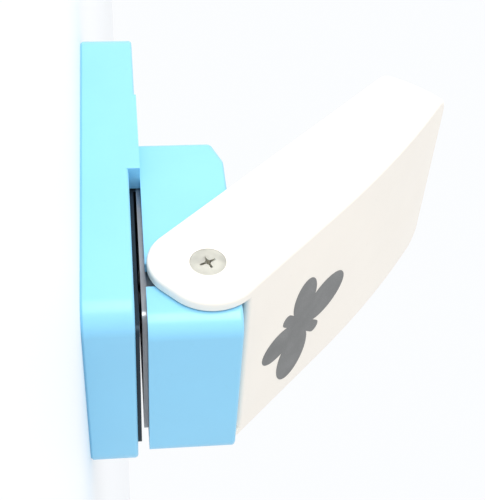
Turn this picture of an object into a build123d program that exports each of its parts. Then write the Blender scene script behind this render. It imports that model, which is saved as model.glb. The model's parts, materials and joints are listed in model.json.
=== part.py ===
from build123d import *
import math
import os

os.makedirs("parts", exist_ok=True)

# Lever-operated craft punch. Millimetres, Z up, the throat opens towards -Y,
# the lever tip rises to the rear (+Y). The base rests on Z = 0.

# base slab
base_width = 41.0
base_length = 76.0
base_corner = 4.6
base_wall = 2.0
jaw_top = 8.4  # paper table in front of the throat end
deck_top = 10.1  # rear deck
pad_top = 10.4  # raised pad that carries the rear cover
pad_rear_y = 17.5
throat_end_y = -3.4
front_ceiling = 4.5  # underside of the deck below the die
rear_ceiling = 8.1
rear_cavity_y = 8.0
cavity_rib_y = (17, 26)
cavity_rib = 1.2
plate_boss = 2.6
edge_round = 0.6

# steel die set
set_width = 31.0
set_rear_y = 4.5
set_corner = 1.5
set_gap = 0.2  # air between the die set and the plastic around it
die_thick = 2.0
die_proud = 0.7  # the die plate stands this far above the plastic paper table
throat_gap = 0.5
guide_thick = 1.0
die_front_y = -36.6
guide_front_y = -33.7
spacer_front_y = -4.0
die_top = jaw_top + die_proud
die_bottom = die_top - die_thick
guide_bottom = die_top + throat_gap
guide_top = guide_bottom + guide_thick

# punched motif, a butterfly of plain ellipses
motif_y = -17.5
body_length = 15.0
body_width = 2.4
fore_wing = (5.8, 4.2, 6.0, 3.4, 35)  # semi-axes, centre, turn in degrees
hind_wing = (4.6, 3.2, 4.7, -4.2, -42)
thorax = (3.6, 3.4)
die_clearance = 0.03
guide_clearance = 0.03
body_clearance = 0.3

# die-cast body around the plunger
cast_half = 15.0
cast_front_y = -32.6
cast_floor_top = guide_top + 2.0
cast_rear_top = 16.0
cast_wall_top = 23.2
cast_end_top = 21.0
bore_half = 13.1
bore_front_y = -30.5
bore_rear_y = -4.5
bore_end_wall = 2.1

# covers
cover_half = 17.7
cover_inner = 15.9
cover_bottom = pad_top
cover_top = 25.6
cover_roof_under = 23.6
rear_cover_rear_y = 6.7
rear_cover_front_y = -24.0
rear_cover_wall = 1.7
rear_corner = 1.4
front_cover_front_y = -37.8
front_cover_rear_y = -29.0
front_cover_wall = 1.8
front_lip_y = -34.0
front_corner = 3.5
roof_slope = (4.6, 1.8)  # run along Y and drop of the rear roof slope
slope_round = 1.2
roof_opening_half = 12.5
roof_opening_rear_y = -5.0
boss_clear = 3.6

# lever
pivot_y = -26.25
pivot_z = 20.55
pivot_boss_radius = 3.1
pivot_boss_face = 17.9
lever_half = 20.1
cheek_inner = 18.0
lever_angle = 45.0
web_top = 9.0  # outer face of the web, measured square to the lever from the pivot
front_reach = 8.3  # flat front end of the cheeks, ahead of the pivot
heel_depth = 10.15
front_round = 8.3
heel_round = 7.2
lever_straight = 25.4  # straight part of the web, measured from the pivot
web_arch_radius = 216.0
tip_reach = 66.0
tip_bottom = (65.0, -7.6)
tip_crown = 0.7
tip_corner = 4.5
lever_edge = 1.0
web_thick = 2.0
end_wall = 2.0
web_end_z = 26.0
web_foot_round = 0.8
rib_inner = 7.2
rib_outer = 9.4
rib_radius = 3.8
rib_root = (4.2, 17.0)  # the ribs meet the web between these reaches
stiffener_reach = (24, 37, 50)
stiffener = (1.2, 3.4)
stroke_angle = 22.0

# press bar in the lever, above the plunger
bar_radius = 2.5
bar_fit = 0.02
bar_reach = 11.0  # distance from the pivot axis
bar_half = 9.4
bar_rise = stroke_angle / 2 + 0.27  # degrees above the pivot at rest
bar_y = pivot_y + bar_reach * math.cos(math.radians(bar_rise))
bar_z = pivot_z + bar_reach * math.sin(math.radians(bar_rise))

# plunger and punch, drawn with the lever up
plunger_half = 13.0
plunger_front_y = -30.4
plunger_rear_y = -4.6
plunger_bottom = 16.9
plunger_top = 20.15
channel_floor = 18.3
channel_y = (-20.6, -9.0)
channel_x = (6.9, 9.8)
tower_radius = 2.5
tower_top = 22.8
spring_x = 10.4
spring_front_y = -27.8
spring_rear_y = -7.2
spring_pocket = 1.95
pocket_top = 22.0
seat_depth = 0.5
punch_bottom = 9.8

# return springs
spring_radius = 1.5  # to the middle of the wire
spring_wire = 0.45
spring_turns = 7.5

# pivot hardware
bush_head_radius = 2.95
bush_head_thick = 0.9
bush_shank_radius = 2.6
bush_fit = 0.05
pivot_screw_radius = 1.5
pivot_screw_head = 2.65
pivot_screw_cone = 1.15
pivot_screw_tip = 13.4
pivot_recess = 1.45
pivot_recess_turn = 24  # degrees
outer_face = 20.05

# other fasteners
clamp_x = 12.0
clamp_y = 0.25
clamp_radius = 1.5
clamp_tip = 15.0
dowel_x = 8.9
dowel_radius = 1.0
dowel_bottom = die_bottom + 0.2
dowel_top = 13.5
housing_x = 5.3
housing_radius = 1.1
housing_tip = 19.5
housing_boss = 2.5
nose_x = 6.0
nose_z = 17.5
nose_radius = 1.0
nose_head = 1.9
nose_tip_y = -35.2
nose_boss = 2.3
plate_screw_x = 14.6
plate_screw_y = 32.0
plate_screw_radius = 1.1
plate_screw_head = 2.0
punch_screw_x = 4.0
punch_screw_radius = 1.25
punch_screw_head = 2.3

# bottom plate
plate_bottom = 0.5
plate_top = 2.0
plate_gap = 0.15
window_size = (27.0, 23.0)
window_corner = 3.0
sink_relief = 0.22  # countersinks are this much wider than the screw heads


def butterfly(plane, grow):
    """Butterfly outline around the motif centre, grown by a clearance."""
    with BuildSketch(plane) as outline:
        with Locations((0, motif_y)):
            SlotOverall(body_length + 2 * grow, body_width + 2 * grow, rotation=90)
            Ellipse(thorax[0] + grow, thorax[1] + grow)
        for across, along, x, y, turn in (fore_wing, hind_wing):
            for side in (1, -1):
                with Locations((side * x, motif_y + y)):
                    Ellipse(across + grow, along + grow, rotation=side * turn)
    return outline.sketch


def flat_screw(radius, head, cone, length, recess):
    """Countersunk screw along -Z with its head's top at the origin."""
    with BuildPart() as screw:
        with BuildSketch(Plane.XZ) as half:
            with BuildLine():
                Polyline(
                    (0, 0), (head, 0), (head, -0.15), (radius, -cone), (radius, 0.3 - length),
                    (radius - 0.3, -length), (0, -length), close=True,
                )
            make_face()
        revolve(axis=Axis.Z)
        with BuildSketch():
            Rectangle(2 * recess, 0.28 * recess)
            Rectangle(0.28 * recess, 2 * recess)
            Circle(0.36 * recess)
        extrude(amount=-0.7 * recess, taper=14, mode=Mode.SUBTRACT)
    return screw.part


def pan_screw(radius, head, head_height, length, recess):
    """Pan-head screw along +Z with the head below the origin."""
    with BuildPart() as screw:
        with BuildSketch():
            Circle(head)
        extrude(amount=-head_height)
        fillet(screw.faces().sort_by(Axis.Z)[0].edges(), 0.4 * head_height)
        with BuildSketch():
            Circle(radius)
        extrude(amount=length)
        chamfer(screw.faces().sort_by(Axis.Z)[-1].edges(), 0.3)
        with BuildSketch(Plane.XY.offset(-head_height)):
            Rectangle(2 * recess, 0.3 * recess)
            Rectangle(0.3 * recess, 2 * recess)
        extrude(amount=0.7 * recess, mode=Mode.SUBTRACT)
    return screw.part


plate_screw_spots = [(sx * plate_screw_x, sy * plate_screw_y) for sx in (-1, 1) for sy in (-1, 1)]
clamp_spots = [(-clamp_x, clamp_y), (clamp_x, clamp_y)]
dowel_spots = [(-dowel_x, clamp_y), (dowel_x, clamp_y)]
housing_spots = [(-housing_x, clamp_y), (housing_x, clamp_y)]
punch_screw_spots = [(-punch_screw_x, motif_y), (punch_screw_x, motif_y)]
spring_spots = {
    "front_left": (-spring_x, spring_front_y),
    "front_right": (spring_x, spring_front_y),
    "rear_left": (-spring_x, spring_rear_y),
    "rear_right": (spring_x, spring_rear_y),
}

# ---------------------------------------------------------------- base shell
set_pocket_front = die_front_y - set_gap
set_pocket_rear = set_rear_y + set_gap
with BuildPart() as base_shell:
    with BuildSketch():
        RectangleRounded(base_width, base_length, base_corner)
    extrude(amount=pad_top)
    with BuildSketch(Plane.XY.offset(deck_top)):
        with Locations((0, (pad_rear_y + base_length) / 2)):
            Rectangle(base_width + 2, base_length - pad_rear_y)
    extrude(amount=2, mode=Mode.SUBTRACT)
    with BuildSketch(Plane.XY.offset(jaw_top)):
        with Locations((0, (throat_end_y - base_length) / 2)):
            Rectangle(base_width + 2, base_length + throat_end_y)
    extrude(amount=4, mode=Mode.SUBTRACT)
    jaw_rim = base_shell.edges().filter_by(lambda e: abs(e.center().Z - jaw_top) < 0.01)
    jaw_rim = jaw_rim.filter_by(lambda e: e.center().Y < throat_end_y - 0.1)
    deck_rim = base_shell.edges().filter_by(lambda e: abs(e.center().Z - deck_top) < 0.01)
    deck_rim = deck_rim.filter_by(lambda e: e.center().Y > pad_rear_y + 0.1)
    fillet(jaw_rim, edge_round)
    fillet(deck_rim, edge_round)
    chamfer(base_shell.faces().sort_by(Axis.Z)[0].edges(), 0.4)
    # hollow underside, shallow under the die and deeper behind it
    with BuildSketch():
        RectangleRounded(base_width - 2 * base_wall, base_length - 2 * base_wall, base_corner - base_wall)
    extrude(amount=front_ceiling, mode=Mode.SUBTRACT)
    with BuildSketch(Plane.XY.offset(front_ceiling)):
        with Locations((0, (rear_cavity_y + base_length / 2 - base_wall) / 2)):
            Rectangle(base_width - 2 * base_wall - 2, base_length / 2 - base_wall - rear_cavity_y - 1)
    extrude(amount=rear_ceiling - front_ceiling, mode=Mode.SUBTRACT)
    # pocket for the die set and the chip opening under it
    with BuildSketch(Plane.XY.offset(die_bottom)):
        with Locations((0, (set_pocket_front + set_pocket_rear) / 2)):
            Rectangle(set_width + 2 * set_gap, set_pocket_rear - set_pocket_front)
    extrude(amount=10, mode=Mode.SUBTRACT)
    with BuildSketch(Plane.XY.offset(front_ceiling)):
        with Locations((0, motif_y)):
            RectangleRounded(window_size[0], window_size[1], window_corner)
    extrude(amount=die_bottom - front_ceiling, mode=Mode.SUBTRACT)
    # ribs across the rear cavity and bosses for the bottom plate
    with BuildSketch(Plane.XY.offset(plate_top)):
        with Locations(*[(0, y) for y in cavity_rib_y]):
            Rectangle(base_width - 2 * base_wall, cavity_rib)
    extrude(amount=rear_ceiling - plate_top)
    with BuildSketch(Plane.XY.offset(plate_top)):
        with Locations(*plate_screw_spots):
            Circle(plate_boss)
    extrude(amount=front_ceiling + 0.6 - plate_top)
    with BuildSketch(Plane.XY.offset(plate_top)):
        with Locations(*plate_screw_spots[1::2]):
            Circle(plate_boss)
    extrude(amount=rear_ceiling + 0.6 - plate_top)
    with BuildSketch(Plane.XY.offset(plate_top)):
        with Locations(*plate_screw_spots):
            Circle(plate_screw_radius)
    extrude(amount=4, mode=Mode.SUBTRACT)
    with BuildSketch(Plane.XY.offset(front_ceiling)):
        with Locations(*clamp_spots):
            Circle(clamp_radius + 0.1)
        with Locations(*housing_spots):
            Circle(housing_radius + 0.1)
    extrude(amount=die_bottom - front_ceiling, mode=Mode.SUBTRACT)
base_shell.part.label = "base_shell"
export_step(base_shell.part, "parts/base_shell.step")

# -------------------------------------------------------------- bottom plate
with BuildPart() as bottom_plate:
    with BuildSketch(Plane.XY.offset(plate_bottom)):
        RectangleRounded(
            base_width - 2 * (base_wall + plate_gap),
            base_length - 2 * (base_wall + plate_gap),
            base_corner - base_wall - plate_gap,
        )
        with Locations((0, motif_y)):
            RectangleRounded(window_size[0], window_size[1], window_corner, mode=Mode.SUBTRACT)
    extrude(amount=plate_top - plate_bottom)
    chamfer(bottom_plate.faces().sort_by(Axis.Z)[0].outer_wire().edges(), 0.3)
    with Locations(*[Location((x, y, plate_bottom), (180, 0, 0)) for x, y in plate_screw_spots]):
        CounterSinkHole(
            plate_screw_radius + 0.1, plate_screw_head + sink_relief, depth=3, counter_sink_angle=90
        )
bottom_plate.part.label = "bottom_plate"
export_step(bottom_plate.part, "parts/bottom_plate.step")

plate_screw = flat_screw(plate_screw_radius, plate_screw_head, 1.05, 4.8, 1.1)
with BuildPart() as bottom_plate_screws:
    with Locations(*[Location((x, y, plate_bottom + 0.05), (180, 0, 0)) for x, y in plate_screw_spots]):
        add(plate_screw)
bottom_plate_screws.part.label = "bottom_plate_screws"
export_step(bottom_plate_screws.part, "parts/bottom_plate_screws.step")

# ------------------------------------------------------------- steel die set
with BuildPart() as die_plate:
    with BuildSketch(Plane.XY.offset(die_bottom)):
        with Locations((0, (die_front_y + set_rear_y) / 2)):
            RectangleRounded(set_width, set_rear_y - die_front_y, set_corner)
        add(butterfly(Plane.XY, die_clearance), mode=Mode.SUBTRACT)
        with Locations(*clamp_spots):
            Circle(clamp_radius + 0.1, mode=Mode.SUBTRACT)
        with Locations(*housing_spots):
            Circle(housing_radius + 0.1, mode=Mode.SUBTRACT)
    extrude(amount=die_thick)
    with BuildSketch(Plane.XY.offset(dowel_bottom)):
        with Locations(*dowel_spots):
            Circle(dowel_radius)
    extrude(amount=die_thick, mode=Mode.SUBTRACT)
die_plate.part.label = "die_plate"
export_step(die_plate.part, "parts/die_plate.step")

with BuildPart() as spacer_plate:
    with BuildSketch(Plane.XY.offset(die_top)):
        with Locations((0, (spacer_front_y + set_rear_y) / 2)):
            Rectangle(set_width, set_rear_y - spacer_front_y)
        with Locations(*clamp_spots):
            Circle(clamp_radius + 0.1, mode=Mode.SUBTRACT)
        with Locations(*housing_spots):
            Circle(housing_radius + 0.1, mode=Mode.SUBTRACT)
        with Locations(*dowel_spots):
            Circle(dowel_radius, mode=Mode.SUBTRACT)
    extrude(amount=throat_gap)
spacer_plate.part.label = "spacer_plate"
export_step(spacer_plate.part, "parts/spacer_plate.step")

with BuildPart() as guide_plate:
    with BuildSketch(Plane.XY.offset(guide_bottom)):
        with Locations((0, (guide_front_y + set_rear_y) / 2)):
            RectangleRounded(set_width, set_rear_y - guide_front_y, set_corner)
        add(butterfly(Plane.XY, guide_clearance), mode=Mode.SUBTRACT)
        with Locations(*clamp_spots):
            Circle(clamp_radius + 0.1, mode=Mode.SUBTRACT)
        with Locations(*housing_spots):
            Circle(housing_radius + 0.1, mode=Mode.SUBTRACT)
        with Locations(*dowel_spots):
            Circle(dowel_radius, mode=Mode.SUBTRACT)
    extrude(amount=guide_thick)
guide_plate.part.label = "guide_plate"
export_step(guide_plate.part, "parts/guide_plate.step")

with BuildPart() as dowel_pins:
    with BuildSketch(Plane.XY.offset(dowel_bottom)):
        with Locations(*dowel_spots):
            Circle(dowel_radius)
    extrude(amount=dowel_top - dowel_bottom)
dowel_pins.part.label = "dowel_pins"
export_step(dowel_pins.part, "parts/dowel_pins.step")

# ------------------------------------------------------------- die-cast body
with BuildPart() as die_body:
    with BuildSketch(Plane.XY.offset(guide_top)):
        with Locations((0, (cast_front_y + set_rear_y) / 2)):
            Rectangle(2 * cast_half, set_rear_y - cast_front_y)
    extrude(amount=cast_rear_top - guide_top)
    wall_rear_y = bore_rear_y + bore_end_wall
    with BuildSketch(Plane.XY.offset(guide_top)):
        with Locations((0, (cast_front_y + wall_rear_y) / 2)):
            Rectangle(2 * cast_half, wall_rear_y - cast_front_y)
    extrude(amount=cast_wall_top - guide_top)
    # end walls stand lower than the side walls
    with BuildSketch(Plane.XY.offset(cast_end_top)):
        with Locations((0, (cast_front_y + wall_rear_y) / 2)):
            Rectangle(2 * bore_half, wall_rear_y - cast_front_y + 2)
    extrude(amount=6, mode=Mode.SUBTRACT)
    # plunger bore
    with BuildSketch(Plane.XY.offset(cast_floor_top)):
        with Locations((0, (bore_front_y + bore_rear_y) / 2)):
            Rectangle(2 * bore_half, bore_rear_y - bore_front_y)
    extrude(amount=20, mode=Mode.SUBTRACT)
    # pivot bosses
    with BuildSketch(Plane.YZ.offset(-pivot_boss_face)):
        with Locations((pivot_y, pivot_z)):
            Circle(pivot_boss_radius)
    extrude(amount=pivot_boss_face - bore_half)
    with BuildSketch(Plane.YZ.offset(bore_half)):
        with Locations((pivot_y, pivot_z)):
            Circle(pivot_boss_radius)
    extrude(amount=pivot_boss_face - bore_half)
    with BuildSketch(Plane.YZ.offset(-pivot_boss_face)):
        with Locations((pivot_y, pivot_z)):
            Circle(pivot_screw_radius)
    extrude(amount=2 * pivot_boss_face, mode=Mode.SUBTRACT)
    # punch opening, spring seats, threaded and dowel holes
    add(butterfly(Plane.XY.offset(guide_top), body_clearance))
    extrude(amount=cast_floor_top - guide_top, mode=Mode.SUBTRACT)
    with BuildSketch(Plane.XY.offset(cast_floor_top - seat_depth)):
        with Locations(*spring_spots.values()):
            Circle(spring_pocket)
    extrude(amount=seat_depth, mode=Mode.SUBTRACT)
    with BuildSketch(Plane.XY.offset(guide_top)):
        with Locations(*clamp_spots):
            Circle(clamp_radius)
        with Locations(*housing_spots):
            Circle(housing_radius + 0.1)
        with Locations(*dowel_spots):
            Circle(dowel_radius)
    extrude(amount=cast_rear_top - guide_top, mode=Mode.SUBTRACT)
    with Locations(*[Location((side * nose_x, bore_front_y, nose_z), (-90, 0, 0)) for side in (-1, 1)]):
        CounterSinkHole(nose_radius + 0.1, nose_head + sink_relief, depth=4, counter_sink_angle=90)
die_body.part.label = "die_body"
export_step(die_body.part, "parts/die_body.step")

clamp_screw = pan_screw(clamp_radius, 2.6, 1.6, clamp_tip - front_ceiling, 1.4)
with BuildPart() as clamp_screws:
    with Locations(*[(x, y, front_ceiling) for x, y in clamp_spots]):
        add(clamp_screw)
clamp_screws.part.label = "clamp_screws"
export_step(clamp_screws.part, "parts/clamp_screws.step")

# -------------------------------------------------------------------- covers
with BuildPart() as rear_cover:
    with BuildSketch(Plane.YZ.offset(-cover_half)):
        with BuildLine():
            Polyline(
                (rear_cover_front_y, cover_bottom), (rear_cover_rear_y, cover_bottom),
                (rear_cover_rear_y, cover_top - roof_slope[1]),
                (rear_cover_rear_y - roof_slope[0], cover_top),
                (rear_cover_front_y, cover_top), close=True,
            )
        make_face()
    extrude(amount=2 * cover_half)
    slope_foot = rear_cover.edges().filter_by(Axis.X).filter_by(
        lambda e: abs(e.center().Z - cover_top + roof_slope[1]) < 0.01
    )
    fillet(slope_foot, slope_round)
    upright = rear_cover.edges().filter_by(Axis.Z).sort_by(Axis.Y)[-2:]
    fillet(upright, rear_corner)
    roof_edges = rear_cover.edges().filter_by(lambda e: e.center().Z > cover_top - roof_slope[1] - 0.7)
    roof_edges = roof_edges.filter_by(lambda e: e.center().Y > rear_cover_front_y + 0.1)
    roof_edges = roof_edges.filter_by(lambda e: abs(e.center().X) > cover_half - rear_corner - 0.01)
    fillet(roof_edges, edge_round)
    with BuildSketch(Plane.XY.offset(cover_bottom)):
        inner_rear_y = rear_cover_rear_y - rear_cover_wall
        with Locations((0, (inner_rear_y + rear_cover_front_y - 5) / 2)):
            Rectangle(2 * cover_inner, inner_rear_y - rear_cover_front_y + 5)
    extrude(amount=cover_roof_under - cover_bottom, mode=Mode.SUBTRACT)
    with BuildSketch(Plane.XY.offset(cover_roof_under)):
        with Locations((0, (roof_opening_rear_y - 40) / 2)):
            Rectangle(2 * roof_opening_half, roof_opening_rear_y + 40)
    extrude(amount=5, mode=Mode.SUBTRACT)
    with BuildSketch(Plane.XY.offset(cast_rear_top)):
        with Locations(*housing_spots):
            Circle(housing_boss)
    extrude(amount=cover_roof_under + 0.5 - cast_rear_top)
    with BuildSketch(Plane.XY.offset(cast_rear_top)):
        with Locations(*housing_spots):
            Circle(housing_radius)
    extrude(amount=housing_tip + 0.5 - cast_rear_top, mode=Mode.SUBTRACT)
    with BuildSketch(Plane.YZ.offset(-cover_half - 1)):
        with Locations((pivot_y, pivot_z)):
            Circle(boss_clear)
    extrude(amount=2 * cover_half + 2, mode=Mode.SUBTRACT)
rear_cover.part.label = "rear_cover"
export_step(rear_cover.part, "parts/rear_cover.step")

housing_screw = pan_screw(housing_radius, 2.0, 1.4, housing_tip - front_ceiling, 1.1)
with BuildPart() as housing_screws:
    with Locations(*[(x, y, front_ceiling) for x, y in housing_spots]):
        add(housing_screw)
housing_screws.part.label = "housing_screws"
export_step(housing_screws.part, "parts/housing_screws.step")

with BuildPart() as front_cover:
    with BuildSketch(Plane.XY.offset(cover_bottom)):
        with Locations((0, (front_cover_front_y + front_cover_rear_y) / 2)):
            Rectangle(2 * cover_half, front_cover_rear_y - front_cover_front_y)
    extrude(amount=cover_top - cover_bottom)
    front_uprights = front_cover.edges().filter_by(Axis.Z).sort_by(Axis.Y)[:2]
    fillet(front_uprights, front_corner)
    front_rim = front_cover.edges().filter_by(lambda e: e.center().Y < front_cover_rear_y - 0.1)
    front_rim = front_rim.filter_by(lambda e: abs(e.center().Z - cover_top) < 0.01)
    fillet(front_rim, edge_round)
    inner_front_y = front_cover_front_y + front_cover_wall
    with BuildSketch(Plane.XY.offset(cover_bottom + front_cover_wall)):
        with Locations((0, (inner_front_y + front_cover_rear_y + 1) / 2)):
            Rectangle(2 * cover_inner, front_cover_rear_y + 1 - inner_front_y)
    extrude(amount=cover_roof_under - cover_bottom - front_cover_wall, mode=Mode.SUBTRACT)
    with BuildSketch(Plane.XY.offset(cover_bottom)):
        with Locations((0, (front_lip_y + front_cover_rear_y + 1) / 2)):
            Rectangle(2 * cover_inner, front_cover_rear_y + 1 - front_lip_y)
    extrude(amount=front_cover_wall, mode=Mode.SUBTRACT)
    nose_plane = Plane(origin=(0, cast_front_y - 0.05, 0), x_dir=(1, 0, 0), z_dir=(0, -1, 0))
    with BuildSketch(nose_plane):
        with Locations((-nose_x, nose_z), (nose_x, nose_z)):
            Circle(nose_boss)
    extrude(amount=cast_front_y - inner_front_y + 0.5)
    with BuildSketch(nose_plane):
        with Locations((-nose_x, nose_z), (nose_x, nose_z)):
            Circle(nose_radius)
    extrude(amount=cast_front_y - nose_tip_y + 0.3, mode=Mode.SUBTRACT)
    with BuildSketch(Plane.YZ.offset(-cover_half - 1)):
        with Locations((pivot_y, pivot_z)):
            Circle(boss_clear)
    extrude(amount=2 * cover_half + 2, mode=Mode.SUBTRACT)
front_cover.part.label = "front_cover"
export_step(front_cover.part, "parts/front_cover.step")

nose_length = bore_front_y - 0.05 - nose_tip_y
nose_screw = flat_screw(nose_radius, nose_head, 1.05, nose_length, 1.0)
with BuildPart() as nose_screws:
    for side in (-1, 1):
        with Locations(Location((side * nose_x, bore_front_y - 0.05, nose_z), (-90, 0, 0))):
            add(nose_screw)
nose_screws.part.label = "nose_screws"
export_step(nose_screws.part, "parts/nose_screws.step")

# --------------------------------------------------------- plunger and punch
with BuildPart() as plunger:
    with BuildSketch(Plane.XY.offset(plunger_bottom)):
        with Locations((0, (plunger_front_y + plunger_rear_y) / 2)):
            RectangleRounded(2 * plunger_half, plunger_rear_y - plunger_front_y, 1)
    extrude(amount=plunger_top - plunger_bottom)
    with BuildSketch(Plane.XY.offset(plunger_bottom)):
        with Locations(*spring_spots.values()):
            Circle(tower_radius)
    extrude(amount=tower_top - plunger_bottom)
    fillet(plunger.faces().filter_by(Axis.Z).group_by(Axis.Z)[-1].edges(), 0.5)
    with BuildSketch(Plane.XY.offset(channel_floor)):
        channel_mid = sum(channel_x) / 2
        with Locations((-channel_mid, sum(channel_y) / 2), (channel_mid, sum(channel_y) / 2)):
            Rectangle(channel_x[1] - channel_x[0], channel_y[1] - channel_y[0])
    extrude(amount=plunger_top - channel_floor, mode=Mode.SUBTRACT)
    with BuildSketch(Plane.XY.offset(plunger_bottom)):
        with Locations(*spring_spots.values()):
            Circle(spring_pocket)
    extrude(amount=pocket_top - plunger_bottom, mode=Mode.SUBTRACT)
    with Locations(*[(x, y, plunger_top) for x, y in punch_screw_spots]):
        CounterSinkHole(
            punch_screw_radius + 0.1, punch_screw_head + sink_relief, depth=4, counter_sink_angle=90
        )
plunger.part.label = "plunger"
export_step(plunger.part, "parts/plunger.step")

with BuildPart() as punch:
    add(butterfly(Plane.XY.offset(punch_bottom), 0))
    extrude(amount=plunger_bottom - punch_bottom)
    with BuildSketch(Plane.XY.offset(plunger_bottom)):
        with Locations(*punch_screw_spots):
            Circle(punch_screw_radius)
    extrude(amount=-4.6, mode=Mode.SUBTRACT)
punch.part.label = "punch"
export_step(punch.part, "parts/punch.step")

punch_screw = flat_screw(punch_screw_radius, punch_screw_head, 1.15, 7.0, 1.3)
with BuildPart() as punch_screws:
    with Locations(*[(x, y, plunger_top - 0.05) for x, y in punch_screw_spots]):
        add(punch_screw)
punch_screws.part.label = "punch_screws"
export_step(punch_screws.part, "parts/punch_screws.step")

# ------------------------------------------------------------ return springs
spring_foot = cast_floor_top - seat_depth
spring_height = pocket_top - spring_foot
coil_height = spring_height - 2 * spring_wire / 2
for spot, (spring_cx, spring_cy) in spring_spots.items():
    with BuildPart() as return_spring:
        with BuildLine():
            Helix(
                pitch=coil_height / spring_turns, height=coil_height, radius=spring_radius,
                center=(spring_cx, spring_cy, spring_foot + spring_wire / 2),
            )
        wire_plane = Plane(
            origin=(spring_cx + spring_radius, spring_cy, spring_foot + spring_wire / 2),
            z_dir=(0, 1, 0),
        )
        with BuildSketch(wire_plane):
            Circle(spring_wire / 2)
        sweep(is_frenet=True)
    return_spring.part.label = f"return_spring_{spot}"
    export_step(return_spring.part, f"parts/return_spring_{spot}.step")

# --------------------------------------------------------------------- lever
lever_dir = (0, math.cos(math.radians(lever_angle)), math.sin(math.radians(lever_angle)))
lever_plane = Plane(origin=(0, pivot_y, pivot_z), x_dir=lever_dir, z_dir=(1, 0, 0))
arch_centre = (lever_straight, web_top - web_arch_radius)


def web_height(reach, depth):
    """Height of the web's arch over the lever axis, a depth below its outer face."""
    radius = web_arch_radius - depth
    return arch_centre[1] + math.sqrt(radius ** 2 - (reach - arch_centre[0]) ** 2)


def along_lever(edge):
    """Distance of an edge's middle from the pivot along the lever."""
    return (edge.center() - lever_plane.origin).dot(lever_plane.x_dir)


def above_lever(edge):
    """Distance of an edge's middle from the lever's middle line."""
    return (edge.center() - lever_plane.origin).dot(lever_plane.y_dir)


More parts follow.
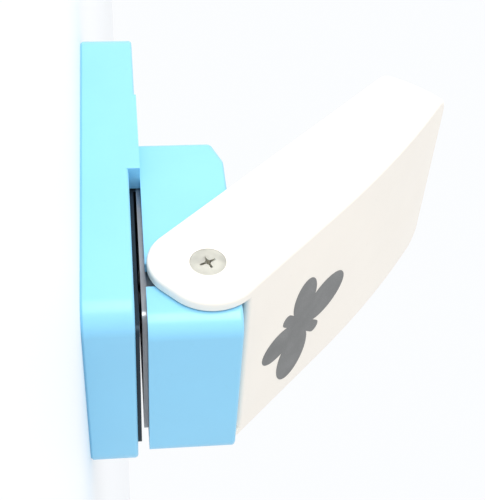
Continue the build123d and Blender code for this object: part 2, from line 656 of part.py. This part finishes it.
tip_top = (tip_reach, web_height(tip_reach, 0))
tip_middle = ((tip_top[0] + tip_bottom[0]) / 2 + tip_crown, (tip_top[1] + tip_bottom[1]) / 2)
arch_middle = (lever_straight + tip_reach) / 2
inner_tip = tip_reach - end_wall
with BuildPart() as lever_shell:
    with BuildSketch(lever_plane.offset(-lever_half)):
        with BuildLine():
            ThreePointArc(
                (lever_straight, web_top), (arch_middle, web_height(arch_middle, 0)), tip_top
            )
            ThreePointArc(tip_top, tip_middle, tip_bottom)
            Polyline(
                tip_bottom, (-front_reach, -heel_depth), (-front_reach, web_top),
                (lever_straight, web_top),
            )
        make_face()
    extrude(amount=2 * lever_half)
    end_edges = lever_shell.edges().filter_by(Axis.X).sort_by(along_lever)[:2].sort_by(above_lever)
    fillet(end_edges[1], front_round)
    heel_edge = lever_shell.edges().filter_by(Axis.X).sort_by(above_lever)[0]
    fillet(heel_edge, heel_round)
    side_edges = lever_shell.edges().filter_by(lambda e: abs(abs(e.center().X) - lever_half) < 0.01)
    tip_sides = side_edges.filter_by(lambda e: e.length > 8 and along_lever(e) > 60)
    fillet(tip_sides, tip_corner)
    rim = lever_shell.edges().filter_by(
        lambda e: abs(abs(e.center().X) - lever_half) < 0.01
        or (above_lever(e) > 4 and along_lever(e) > 55)
    )
    fillet(rim, lever_edge)
    # hollow between the cheeks, open below
    with BuildSketch(lever_plane.offset(-cheek_inner)):
        with BuildLine():
            inner_top = web_top - web_thick
            Line((-15, inner_top), (lever_straight, inner_top))
            ThreePointArc(
                (lever_straight, inner_top), (arch_middle, web_height(arch_middle, web_thick)),
                (inner_tip, web_height(inner_tip, web_thick)),
            )
            Polyline(
                (inner_tip, web_height(inner_tip, web_thick)), (inner_tip - 1, -15),
                (-15, -15), (-15, inner_top),
            )
        make_face()
    extrude(amount=2 * cheek_inner, mode=Mode.SUBTRACT)
    # the web ends level above the housing, with a rounded outer corner
    half_turn = math.radians(lever_angle / 2)
    foot_y = pivot_y + (web_end_z - pivot_z) * lever_dir[1] / lever_dir[2] - web_top / lever_dir[2]
    foot_run = web_foot_round / math.tan(half_turn)
    foot_near = (foot_y + foot_run, web_end_z)
    foot_far = (foot_y + foot_run * lever_dir[1], web_end_z + foot_run * lever_dir[2])
    with BuildSketch(Plane.YZ.offset(-cheek_inner)):
        with BuildLine():
            RadiusArc(foot_near, foot_far, web_foot_round)
            Polyline(
                foot_far, (pivot_y - 20, foot_far[1]), (pivot_y - 20, 0), (pivot_y, 0),
                (pivot_y, web_end_z), foot_near,
            )
        make_face()
    extrude(amount=2 * cheek_inner, mode=Mode.SUBTRACT)
    # ribs that carry the press bar, and stiffening ribs under the web
    bar_u = (bar_y - pivot_y) * lever_dir[1] + (bar_z - pivot_z) * lever_dir[2]
    bar_v = (bar_z - pivot_z) * lever_dir[1] - (bar_y - pivot_y) * lever_dir[2]
    for start in (-rib_outer, rib_inner):
        with BuildSketch(lever_plane.offset(start)):
            with BuildLine():
                Polyline(
                    (bar_u - rib_radius, bar_v), (rib_root[0], inner_top + 0.5),
                    (rib_root[1], inner_top + 0.5), (bar_u + rib_radius, bar_v), close=True,
                )
            make_face()
            with Locations((bar_u, bar_v)):
                Circle(rib_radius)
        extrude(amount=rib_outer - rib_inner)
    with BuildSketch(lever_plane.offset(-rib_outer)):
        with Locations((bar_u, bar_v)):
            Circle(bar_radius + bar_fit)
    extrude(amount=2 * rib_outer, mode=Mode.SUBTRACT)
    for reach in stiffener_reach:
        with BuildSketch(lever_plane.offset(-cheek_inner)):
            with Locations((reach, web_height(reach, web_thick) - stiffener[1] / 3)):
                Rectangle(*stiffener)
        extrude(amount=2 * cheek_inner)
    # stepped bores for the pivot bushes
    with BuildSketch(lever_plane.offset(-lever_half - 1)):
        Circle(bush_shank_radius + bush_fit)
    extrude(amount=2 * lever_half + 2, mode=Mode.SUBTRACT)
    head_depth = lever_half - outer_face + bush_head_thick + bush_fit
    with BuildSketch(lever_plane.offset(-lever_half)):
        Circle(bush_head_radius + bush_fit)
    extrude(amount=head_depth, mode=Mode.SUBTRACT)
    with BuildSketch(lever_plane.offset(lever_half)):
        Circle(bush_head_radius + bush_fit)
    extrude(amount=-head_depth, mode=Mode.SUBTRACT)
lever_shell.part.label = "lever_shell"
export_step(lever_shell.part, "parts/lever_shell.step")

with BuildPart() as press_bar:
    with BuildSketch(lever_plane.offset(-bar_half)):
        with Locations((bar_u, bar_v)):
            Circle(bar_radius)
    extrude(amount=2 * bar_half)
    chamfer(press_bar.faces().filter_by(Axis.X).edges(), 0.3)
press_bar.part.label = "press_bar"
export_step(press_bar.part, "parts/press_bar.step")

# ------------------------------------------------------------ pivot hardware
pivot_screw_length = outer_face - pivot_screw_tip
pivot_screw = flat_screw(
    pivot_screw_radius, pivot_screw_head, pivot_screw_cone, pivot_screw_length, pivot_recess
)
for side, name in ((-1, "left"), (1, "right")):
    out_dir = Location((side * outer_face, pivot_y, pivot_z), (0, side * 90, 0))
    with BuildPart() as pivot_bush:
        with BuildSketch(Plane.XY):
            Circle(bush_head_radius)
            Circle(pivot_screw_radius, mode=Mode.SUBTRACT)
        extrude(amount=-bush_head_thick)
        with BuildSketch(Plane.XY.offset(-bush_head_thick)):
            Circle(bush_shank_radius)
            Circle(pivot_screw_radius, mode=Mode.SUBTRACT)
        extrude(amount=-(outer_face - pivot_boss_face - bush_head_thick))
        with BuildSketch(Plane.XZ):
            with BuildLine():
                Polyline(
                    (0, 0), (pivot_screw_head, 0), (pivot_screw_head, -0.15),
                    (pivot_screw_radius, -pivot_screw_cone), (0, -pivot_screw_cone), close=True,
                )
            make_face()
        revolve(axis=Axis.Z, mode=Mode.SUBTRACT)
    placed_bush = pivot_bush.part.moved(out_dir)
    placed_bush.label = f"pivot_bush_{name}"
    export_step(placed_bush, f"parts/pivot_bush_{name}.step")
    placed_screw = pivot_screw.moved(out_dir * Location((0, 0, 0), (0, 0, pivot_recess_turn)))
    placed_screw.label = f"pivot_screw_{name}"
    export_step(placed_screw, f"parts/pivot_screw_{name}.step")

print("nodes written:", len(os.listdir("parts")))
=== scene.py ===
import bpy
import bmesh
import json
import math
from mathutils import Matrix, Vector

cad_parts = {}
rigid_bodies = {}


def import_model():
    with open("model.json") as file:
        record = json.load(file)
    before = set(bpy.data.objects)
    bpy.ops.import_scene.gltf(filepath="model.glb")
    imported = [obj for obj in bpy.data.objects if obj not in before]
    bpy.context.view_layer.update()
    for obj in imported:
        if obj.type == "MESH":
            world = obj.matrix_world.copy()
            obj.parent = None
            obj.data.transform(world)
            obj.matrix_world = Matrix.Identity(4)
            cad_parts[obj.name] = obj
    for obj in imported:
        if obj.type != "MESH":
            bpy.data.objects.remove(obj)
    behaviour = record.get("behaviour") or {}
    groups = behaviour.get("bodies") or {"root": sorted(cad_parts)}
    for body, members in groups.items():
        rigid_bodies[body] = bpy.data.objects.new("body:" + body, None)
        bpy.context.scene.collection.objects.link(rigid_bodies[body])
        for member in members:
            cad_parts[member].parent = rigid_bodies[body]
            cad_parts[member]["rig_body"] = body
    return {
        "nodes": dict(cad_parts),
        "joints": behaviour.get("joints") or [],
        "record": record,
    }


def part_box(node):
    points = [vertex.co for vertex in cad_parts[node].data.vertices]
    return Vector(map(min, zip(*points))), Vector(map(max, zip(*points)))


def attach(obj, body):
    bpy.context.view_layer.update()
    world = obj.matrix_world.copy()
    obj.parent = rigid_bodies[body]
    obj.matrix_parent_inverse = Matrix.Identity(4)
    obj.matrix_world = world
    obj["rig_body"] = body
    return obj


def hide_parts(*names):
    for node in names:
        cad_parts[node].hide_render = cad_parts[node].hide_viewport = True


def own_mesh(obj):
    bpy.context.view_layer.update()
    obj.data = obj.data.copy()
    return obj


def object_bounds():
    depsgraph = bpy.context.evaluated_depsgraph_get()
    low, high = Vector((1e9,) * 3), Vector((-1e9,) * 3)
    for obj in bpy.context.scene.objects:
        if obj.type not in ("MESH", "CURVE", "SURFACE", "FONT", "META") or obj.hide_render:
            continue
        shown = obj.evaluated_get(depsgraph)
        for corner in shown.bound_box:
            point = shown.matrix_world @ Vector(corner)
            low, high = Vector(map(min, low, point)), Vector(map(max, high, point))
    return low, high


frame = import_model()
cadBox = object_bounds()
nodes = frame["nodes"]
mm = 0.001

joints = {joint["name"]: joint for joint in frame["joints"]}
pivot = Vector(joints["lever_hinge"]["pos_m"])
leverAngle = math.radians(45)  # the raised lever over the table
slotOf = {part["node"]: part["material_slot"] for part in frame["record"]["subparts"]}


class Wire:
    # a socket that Python arithmetic builds Math nodes on
    def __init__(self, board, socket):
        self.board = board
        self.socket = socket

    def join(self, operation, first, second):
        return self.board.make("ShaderNodeMath", {"operation": operation}, {0: first, 1: second})

    def __add__(self, other):
        return self.join("ADD", self, other)

    def __radd__(self, other):
        return self.join("ADD", other, self)

    def __sub__(self, other):
        return self.join("SUBTRACT", self, other)

    def __rsub__(self, other):
        return self.join("SUBTRACT", other, self)

    def __mul__(self, other):
        return self.join("MULTIPLY", self, other)

    def __rmul__(self, other):
        return self.join("MULTIPLY", other, self)

    def __truediv__(self, other):
        return self.join("DIVIDE", self, other)

    def __rtruediv__(self, other):
        return self.join("DIVIDE", other, self)


class Board:
    # a node tree, shader or geometry, and the one way that nodes are laid on it
    def __init__(self, tree):
        self.tree = tree

    def make(self, kind, settings=None, inputs=None, output=0):
        node = self.tree.nodes.new(kind)
        for key, value in (settings or {}).items():
            if key == "stops":
                self.setStops(node.color_ramp, value)
            else:
                setattr(node, key, value)
        for key, value in (inputs or {}).items():
            if isinstance(value, Wire):
                self.tree.links.new(value.socket, node.inputs[key])
            else:
                node.inputs[key].default_value = value
        return Wire(self, node.outputs[output]) if node.outputs else node

    def setStops(self, ramp, stops):
        while len(ramp.elements) < len(stops):
            ramp.elements.new(0.5)
        for element, (place, colour) in zip(ramp.elements, stops):
            element.position = place
            element.color = (*colour, 1)

    def spread(self, value, low, high, bottom=0.0, top=1.0):
        return self.make("ShaderNodeMapRange", {"clamp": True}, {
            0: value, 1: low, 2: high, 3: bottom, 4: top})


class Bench(Board):
    # one material
    def __init__(self, name):
        self.material = bpy.data.materials.new(name)
        self.material.use_nodes = True
        super().__init__(self.material.node_tree)
        self.tree.nodes.clear()

    def place(self, centre=(0, 0, 0), turn=(0, 0, 0), scale=(1, 1, 1)):
        here = self.make("ShaderNodeTexCoord", output="Object")
        back = [-value for value in centre]
        moved = self.make("ShaderNodeVectorMath", {"operation": "ADD"}, {0: here, 1: back})
        return self.make("ShaderNodeMapping", {}, {0: moved, "Rotation": turn, "Scale": scale})

    def noise(self, vector, scale, detail=3, roughness=0.5):
        return self.make("ShaderNodeTexNoise", {}, {
            "Vector": vector, "Scale": scale, "Detail": detail, "Roughness": roughness})

    def mix(self, factor, first, second):
        return self.make("ShaderNodeMix", {"data_type": "RGBA"}, {
            0: factor, 6: first, 7: second}, output=2)

    def bump(self, height, strength, distance, below=None):
        sockets = {"Strength": strength, "Distance": distance, "Height": height}
        if below is not None:
            sockets["Normal"] = below
        return self.make("ShaderNodeBump", {}, sockets)

    def finish(self, colour, roughness, normal=None, **fixed):
        sockets = {"Base Color": colour, "Roughness": roughness}
        if normal is not None:
            sockets["Normal"] = normal
        for key, value in fixed.items():
            sockets[key.replace("_", " ")] = value
        shader = self.make("ShaderNodeBsdfPrincipled", {}, sockets)
        self.make("ShaderNodeOutputMaterial", {}, {"Surface": shader})
        return self.material


def shade(colour, amount):
    return tuple(min(1.0, part * amount) for part in colour[:3]) + (1.0,)


# sizes of the patterns are in waves per metre
blueLook = {"colour": (0.25, 0.605, 0.85), "roughness": 0.36, "grain": 2600, "mottle": 60, "coat": 0.10}
whiteLook = {"colour": (0.875, 0.82, 0.745), "roughness": 0.40, "grain": 2400, "mottle": 45, "coat": 0.08}
flowLook = {"scale": 140, "stretch": (1, 0.25, 1)}
speckLook = {"scale": 760, "low": 0.74, "high": 0.77, "amount": 0.12}
darkLook = {"colour": (0.035, 0.035, 0.038), "roughness": 0.5, "grain": 1800, "mottle": 90, "coat": 0.0}


def mouldedPlastic(name, look):
    bench = Bench(name)
    here = bench.place()
    colour = look["colour"]
    grain = bench.noise(here, look["grain"], 2)
    mottle = bench.noise(here, look["mottle"], 4)
    flow = bench.noise(bench.place(scale=flowLook["stretch"]), flowLook["scale"], 3)  # long and faint
    specks = bench.spread(bench.noise(here, speckLook["scale"], 1), speckLook["low"], speckLook["high"])
    tone = bench.mix(bench.spread(mottle, 0.35, 0.65), shade(colour, 0.985), shade(colour, 1.015))
    tone = bench.mix(specks * speckLook["amount"], tone, shade(colour, 0.8))
    rough = look["roughness"]
    roughness = bench.spread(flow * 0.6 + mottle * 0.4, 0.3, 0.7, rough - 0.05, rough + 0.09)
    waves = bench.bump(mottle, 0.08, 0.0004)  # slow sink waves under the fine grain
    normal = bench.bump(grain, 0.10, 0.00004, waves)
    return bench.finish(tone, roughness, normal, IOR=1.5, Coat_Weight=look["coat"], Coat_Roughness=0.2)


steelLook = {"colour": (0.36, 0.37, 0.39), "roughness": 0.32, "scale": (30, 900, 900)}
# painted shade: this near-black steel colour stands in for the shadow that fills the punch's throat, not
# a blued finish
throatShadeSteelLook = {"colour": (0.035, 0.05, 0.065), "roughness": 0.42, "scale": (30, 900, 900)}
wireLook = {"colour": (0.5, 0.5, 0.52), "roughness": 0.27, "scale": (500, 500, 90)}
zincLook = {"colour": (0.40, 0.43, 0.445), "roughness": 0.55}
nickelLook = {"colour": (0.57, 0.56, 0.50), "roughness": 0.38, "rings": 42000}


def groundSteel(name, look):
    bench = Bench(name)
    colour = look["colour"]
    rough = look["roughness"]
    scratches = bench.noise(bench.place(scale=look["scale"]), 1, 4, 0.6)
    patches = bench.noise(bench.place(), 160, 3)
    tone = bench.mix(bench.spread(patches, 0.35, 0.7), shade(colour, 0.86), shade(colour, 1.1))
    roughness = bench.spread(scratches * 0.7 + patches * 0.3, 0.3, 0.7, rough - 0.08, rough + 0.16)
    return bench.finish(tone, roughness, bench.bump(scratches, 0.25, 0.00003), Metallic=1.0)


def castZinc(name, look):
    bench = Bench(name)
    here = bench.place()
    colour = look["colour"]
    skin = bench.noise(here, 700, 5, 0.65)
    stains = bench.noise(here, 110, 4)
    tone = bench.mix(bench.spread(stains, 0.3, 0.7), shade(colour, 0.78), shade(colour, 1.12))
    roughness = bench.spread(skin, 0.3, 0.7, look["roughness"] - 0.1, look["roughness"] + 0.14)
    return bench.finish(tone, roughness, bench.bump(skin, 0.5, 0.00008), Metallic=0.9)


def turnedNickel(name, look, centre):
    bench = Bench(name)
    here = bench.place(centre)
    colour = look["colour"]
    flat = bench.make("ShaderNodeVectorMath", {"operation": "MULTIPLY"}, {0: here, 1: (0, 1, 1)})
    reach = bench.make("ShaderNodeVectorMath", {"operation": "LENGTH"}, {0: flat}, output=1)
    rings = bench.make("ShaderNodeMath", {"operation": "SINE"}, {0: reach * look["rings"]})
    stains = bench.noise(bench.place(), 420, 4)
    tone = bench.mix(bench.spread(stains, 0.35, 0.7), shade(colour, 0.88), shade(colour, 1.06))
    roughness = bench.spread(stains, 0.3, 0.7, look["roughness"] - 0.06, look["roughness"] + 0.14)
    normal = bench.bump(rings * 0.5 + stains, 0.18, 0.00002)  # lathe marks about the X axis
    return bench.finish(tone, roughness, normal, Metallic=1.0)


inkLook = {"colour": (0.165, 0.167, 0.166), "roughness": 0.5}


def printedInk(name, look):
    bench = Bench(name)
    here = bench.place()
    colour = look["colour"]
    speckle = bench.noise(here, 5200, 2)
    wash = bench.noise(here, 180, 4)
    tone = bench.mix(bench.spread(speckle, 0.55, 0.68), shade(colour, 0.96), shade(colour, 1.25))
    tone = bench.mix(bench.spread(wash, 0.3, 0.75, 0, 0.25), tone, shade(colour, 0.8))
    roughness = bench.spread(wash, 0.3, 0.7, look["roughness"] - 0.07, look["roughness"] + 0.1)
    return bench.finish(tone, roughness, bench.bump(speckle, 0.2, 0.00002), IOR=1.5)


materials = {
    "blue_plastic": mouldedPlastic("blueMoulding", blueLook),
    "white_plastic": mouldedPlastic("whiteMoulding", whiteLook),
    "dark_plastic": mouldedPlastic("darkMoulding", darkLook),
    # painted shade: the black_steel slot gets near-black steel in place of the shadow in the throat
    "black_steel": groundSteel("bluedSteel", throatShadeSteelLook),
    "tool_steel": groundSteel("groundDieSteel", steelLook),
    "zinc_casting": castZinc("castZincSkin", zincLook),
    "nickel_steel": turnedNickel("turnedNickel", nickelLook, pivot),
    "spring_steel": groundSteel("drawnWire", wireLook),
}
for nodeName, nodeObject in nodes.items():
    nodeObject.data.materials.clear()
    nodeObject.data.materials.append(materials[slotOf[nodeName]])
print("materials made:", len(materials))


def linkPiece(name, mesh, body, material):
    piece = bpy.data.objects.new(name, mesh)
    bpy.context.scene.collection.objects.link(piece)
    mesh.materials.clear()
    mesh.materials.append(material)
    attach(piece, body)
    return piece


# the turned and moulded nodes are shown as welded copies with smooth shading between their sharp edges
shellLook = {"sharpAngle": 32, "normalWeight": 100, "mergeWithin": 2e-6, "flatWithin": 0.3}


def pieceName(nodeName):
    first, *rest = nodeName.split("_")
    return first + "".join(word.capitalize() for word in rest)


def weighted(mesh):
    # the large faces decide the normals, so flats stay flat beside small rounds
    holder = bpy.data.objects.new("holder", mesh)
    bpy.context.scene.collection.objects.link(holder)
    modifier = holder.modifiers.new("weigh", "WEIGHTED_NORMAL")
    modifier.mode = "FACE_AREA"
    modifier.weight = shellLook["normalWeight"]
    modifier.keep_sharp = True
    ready = holder.evaluated_get(bpy.context.evaluated_depsgraph_get())
    result = bpy.data.meshes.new_from_object(ready)
    bpy.data.objects.remove(holder)
    return result


def smoothCopy(nodeName, look):
    mesh = nodes[nodeName].data.copy()
    form = bmesh.new()
    form.from_mesh(mesh)
    bmesh.ops.remove_doubles(form, verts=form.verts, dist=look["mergeWithin"])
    flat = math.radians(look["flatWithin"])
    bmesh.ops.dissolve_limit(form, angle_limit=flat, verts=form.verts, edges=form.edges)
    bmesh.ops.recalc_face_normals(form, faces=form.faces)
    for face in form.faces:
        face.smooth = True
    for edge in form.edges:
        edge.smooth = edge.calc_face_angle(0) < math.radians(look["sharpAngle"])
    form.to_mesh(mesh)
    form.free()
    mesh = weighted(mesh)
    slotName = slotOf[nodeName]
    piece = linkPiece(pieceName(nodeName), mesh, nodes[nodeName]["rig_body"], materials[slotName])
    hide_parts(nodeName)


smoothedNodes = (
    "base_shell", "rear_cover", "front_cover", "lever_shell", "die_body", "plunger", "press_bar",
    "pivot_screw_left", "pivot_screw_right", "pivot_bush_left", "pivot_bush_right")
for nodeName in smoothedNodes:
    smoothCopy(nodeName, shellLook)
print("smooth copies made:", len(smoothedNodes))


# the printed butterfly on the lever has the outline of the punch's cutting face
printLook = {
    "across": 2.8 * mm,  # from the middle of the lever
    "along": 16.6 * mm,  # from the pivot
    "turn": math.radians(-45),
    "grow": 1.04,
    "above": 9.0 * mm,  # the web's outer face over the pivot
    "proud": 0.05 * mm,
    "sunk": 0.02 * mm,
}


def makePrint(look):
    source = bmesh.new()
    source.from_mesh(nodes["punch"].data)
    bmesh.ops.remove_doubles(source, verts=source.verts, dist=shellLook["mergeWithin"])
    lowest = min(vert.co.z for vert in source.verts)
    upper = [face for face in source.faces if face.calc_center_median().z > lowest + 0.01 * mm]
    bmesh.ops.delete(source, geom=upper, context="FACES")
    bmesh.ops.dissolve_limit(source, angle_limit=0.01, verts=source.verts, edges=source.edges)
    low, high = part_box("punch")
    middle = (Vector(low) + Vector(high)) / 2
    centre = Matrix.Translation((-middle.x, -middle.y, -lowest))
    along = Vector((0, math.cos(leverAngle), math.sin(leverAngle)))
    out = Vector((0, -math.sin(leverAngle), math.cos(leverAngle)))
    spot = pivot + along * look["along"] + out * (look["above"] - look["sunk"])
    spot.x = look["across"]
    onLever = Matrix((Vector((1, 0, 0)), along, out)).transposed().to_4x4()
    turn = Matrix.Rotation(look["turn"], 4, "Z")
    source.transform(Matrix.Translation(spot) @ onLever @ turn @ Matrix.Scale(look["grow"], 4) @ centre)
    raised = bmesh.ops.extrude_face_region(source, geom=source.faces[:])
    tops = [item for item in raised["geom"] if isinstance(item, bmesh.types.BMVert)]
    bmesh.ops.translate(source, verts=tops, vec=out * (look["proud"] + look["sunk"]))
    bmesh.ops.recalc_face_normals(source, faces=source.faces)
    mesh = bpy.data.meshes.new("leverPrint")
    source.to_mesh(mesh)
    source.free()
    linkPiece("leverPrint", mesh, "lever", printedInk("greyInk", inkLook))


makePrint(printLook)
print("print laid on the lever")


class Grower(Board):
    # a Geometry Nodes tree with named inputs, grown on a mesh of seat points
    def __init__(self, name, sizes):
        super().__init__(bpy.data.node_groups.new(name, "GeometryNodeTree"))
        sockets = self.tree.interface
        sockets.new_socket(name="Seats", in_out="INPUT", socket_type="NodeSocketGeometry")
        self.keys = {}
        for label in sizes:
            socket = sockets.new_socket(name=label, in_out="INPUT", socket_type="NodeSocketFloat")
            self.keys[label] = socket.identifier
        sockets.new_socket(name="Shape", in_out="OUTPUT", socket_type="NodeSocketGeometry")
        self.source = self.tree.nodes.new("NodeGroupInput")

    def size(self, label):
        return Wire(self, self.source.outputs[label])

    def close(self, shape, turn, material):
        spread = self.make("GeometryNodeInstanceOnPoints", {}, {
            "Points": self.size("Seats"), "Instance": shape, "Rotation": turn})
        real = self.make("GeometryNodeRealizeInstances", {}, {0: spread})
        dressed = self.make("GeometryNodeSetMaterial", {}, {0: real, "Material": material})
        self.make("NodeGroupOutput", {}, {0: dressed})

    def grow(self, name, seats, sizes):
        seatMesh = bpy.data.meshes.new(name + "Seats")
        seatMesh.from_pydata(seats, [], [])
        holder = bpy.data.objects.new(name + "Seats", seatMesh)
        bpy.context.scene.collection.objects.link(holder)
        modifier = holder.modifiers.new("grow", "NODES")
        modifier.node_group = self.tree
        for label, value in sizes.items():
            modifier[self.keys[label]] = value
        ready = holder.evaluated_get(bpy.context.evaluated_depsgraph_get())
        mesh = bpy.data.meshes.new_from_object(ready)
        bpy.data.objects.remove(holder)
        mesh.name = name
        return mesh


springNodes = [name for name in nodes if name.startswith("return_spring")]
springLook = {"Wire": 0.45 * mm, "Turns": 8.5, "sides": 10, "steps": 28}


def makeSprings(look):
    low, high = (Vector(corner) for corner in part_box(springNodes[0]))
    sizes = {
        "Wire": look["Wire"],
        "Turns": look["Turns"],
        "Radius": (high.x - low.x - look["Wire"]) / 2,
        "Height": high.z - low.z - look["Wire"],
    }
    grower = Grower("coilSpring", sizes)
    wire, turns, height = grower.size("Wire"), grower.size("Turns"), grower.size("Height")
    coil = grower.make("GeometryNodeCurveSpiral", {}, {
        "Resolution": look["steps"], "Rotations": turns, "Start Radius": grower.size("Radius"),
        "End Radius": grower.size("Radius"), "Height": height})
    run = grower.make("GeometryNodeSplineParameter")
    end = 1 / turns  # one closed turn at each end
    climb = grower.spread(run, 0.0, end, 0.0, wire) + grower.spread(run, 1 - end, 1.0, 0.0, wire) \
        + grower.spread(run, end, 1 - end, 0.0, height - 2 * wire)
    position = grower.make("GeometryNodeInputPosition")
    split = grower.make("ShaderNodeSeparateXYZ", {}, {0: position})
    across = Wire(grower, split.socket.node.outputs[1])
    spot = grower.make("ShaderNodeCombineXYZ", {}, {0: split, 1: across, 2: climb})
    shaped = grower.make("GeometryNodeSetPosition", {}, {0: coil, "Position": spot})
    section = grower.make("GeometryNodeCurvePrimitiveCircle", {"mode": "RADIUS"}, {
        "Resolution": look["sides"], "Radius": wire / 2})
    swept = grower.make("GeometryNodeCurveToMesh", {}, {
        "Curve": shaped, "Profile Curve": section, "Fill Caps": True})
    smooth = grower.make("GeometryNodeSetShadeSmooth", {}, {0: swept})
    grower.close(smooth, (0, 0, 0), materials["spring_steel"])
    seats = []
    for name in springNodes:
        low, high = (Vector(corner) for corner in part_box(name))
        seats.append(((low.x + high.x) / 2, (low.y + high.y) / 2, low.z + look["Wire"] / 2))
    springs = linkPiece("returnSprings", grower.grow("returnSprings", seats, sizes), "base",
                        materials["spring_steel"])
    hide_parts(*springNodes)
    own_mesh(springs)


makeSprings(springLook)
print("springs wound:", len(springNodes))


# round marks that the ejector pins leave on the hidden side of the lever
markLook = {
    "Radius": 1.6 * mm,
    "Height": 0.12 * mm,
    "sides": 32,
    "across": 12.0 * mm,
    "reaches": (31.5, 44.5),  # millimetres from the pivot
    "arch": 216.0,
    "archStart": 25.4,
    "top": 7.0,
    "webThick": 2.0,
}


def makeEjectorMarks(look):
    grower = Grower("ejectorMark", ("Radius", "Height"))
    disc = grower.make("GeometryNodeMeshCylinder", {"fill_type": "NGON"}, {
        "Vertices": look["sides"], "Radius": grower.size("Radius"), "Depth": grower.size("Height")})
    grower.close(disc, (leverAngle, 0, 0), materials["white_plastic"])
    along = Vector((0, math.cos(leverAngle), math.sin(leverAngle)))
    out = Vector((0, -math.sin(leverAngle), math.cos(leverAngle)))
    seats = []
    for reach in look["reaches"]:
        radius = look["arch"] - look["webThick"]
        sink = radius - math.sqrt(radius ** 2 - (reach - look["archStart"]) ** 2)
        for side in (-1, 1):
            spot = pivot + along * reach * mm + out * (look["top"] - sink) * mm
            seats.append((side * look["across"], spot.y, spot.z))
    sizes = {"Radius": look["Radius"], "Height": look["Height"]}
    mesh = grower.grow("ejectorMarks", seats, sizes)
    linkPiece("ejectorMarks", mesh, "lever", materials["white_plastic"])


makeEjectorMarks(markLook)
print("ejector marks set")

stageLook = {"floorSize": 8.0, "floorColour": (0.93, 0.94, 0.955), "roughness": 0.6}


def makeFloor(look):
    mesh = bpy.data.meshes.new("floor")
    half = look["floorSize"] / 2
    height = cadBox[0].z
    corners = [(-half, -half, height), (half, -half, height), (half, half, height), (-half, half, height)]
    mesh.from_pydata(corners, [], [(0, 1, 2, 3)])
    floor = bpy.data.objects.new("floor", mesh)
    bpy.context.scene.collection.objects.link(floor)
    bench = Bench("paleFloor")
    cloud = bench.noise(bench.place(), 6, 3)
    colour = bench.mix(cloud, shade(look["floorColour"], 0.985), shade(look["floorColour"], 1.01))
    mesh.materials.append(bench.finish(colour, look["roughness"]))


lampLook = {
    "sideKey": {"at": (-0.7, -0.03, 0.13), "size": (0.6, 0.22), "power": 3.2, "tint": (1.0, 0.99, 0.97)},
}
worldLook = {"colour": (0.97, 0.985, 1.0), "strength": 1.0}


def makeLamp(name, look):
    data = bpy.data.lights.new(name, "AREA")
    data.shape = "RECTANGLE"
    data.energy = look["power"]
    data.size, data.size_y = look["size"]
    data.color = look["tint"]
    lamp = bpy.data.objects.new(name, data)
    lamp.location = look["at"]
    middle = (cadBox[0] + cadBox[1]) / 2
    lamp.rotation_euler = (middle - Vector(look["at"])).to_track_quat("-Z", "Y").to_euler()
    bpy.context.scene.collection.objects.link(lamp)


def makeWorld(look):
    world = bpy.data.worlds.new("studio")
    world.use_nodes = True
    background = world.node_tree.nodes["Background"]
    background.inputs["Color"].default_value = (*look["colour"], 1)
    background.inputs["Strength"].default_value = look["strength"]
    bpy.context.scene.world = world


# the camera is rolled until Z points to the right, so the punch shows lying on its side
cameraLook = {
    "place": (-147.8, -147.7, 6.9),  # millimetres
    "aim": (0.0, -4.4, 29.5),
    "upward": (-0.6991, 0.7142, 0.0357),
    "lens": 78.552,
    "sensor": 36.0,
}


def makeCamera(look):
    data = bpy.data.cameras.new("camera")
    data.sensor_width = look["sensor"]
    data.lens = look["lens"]
    data.clip_start = 0.01
    camera = bpy.data.objects.new("camera", data)
    place = Vector(look["place"]) * mm
    back = (place - Vector(look["aim"]) * mm).normalized()
    right = Vector(look["upward"]).cross(back).normalized()
    up = back.cross(right)
    turn = Matrix((right, up, back)).transposed()
    camera.matrix_world = Matrix.Translation(place) @ turn.to_4x4()
    bpy.context.scene.collection.objects.link(camera)
    bpy.context.scene.camera = camera


makeFloor(stageLook)
for lampName, look in lampLook.items():
    makeLamp(lampName, look)
makeWorld(worldLook)
makeCamera(cameraLook)
bpy.context.scene.view_settings.view_transform = "Standard"
print("stage set")
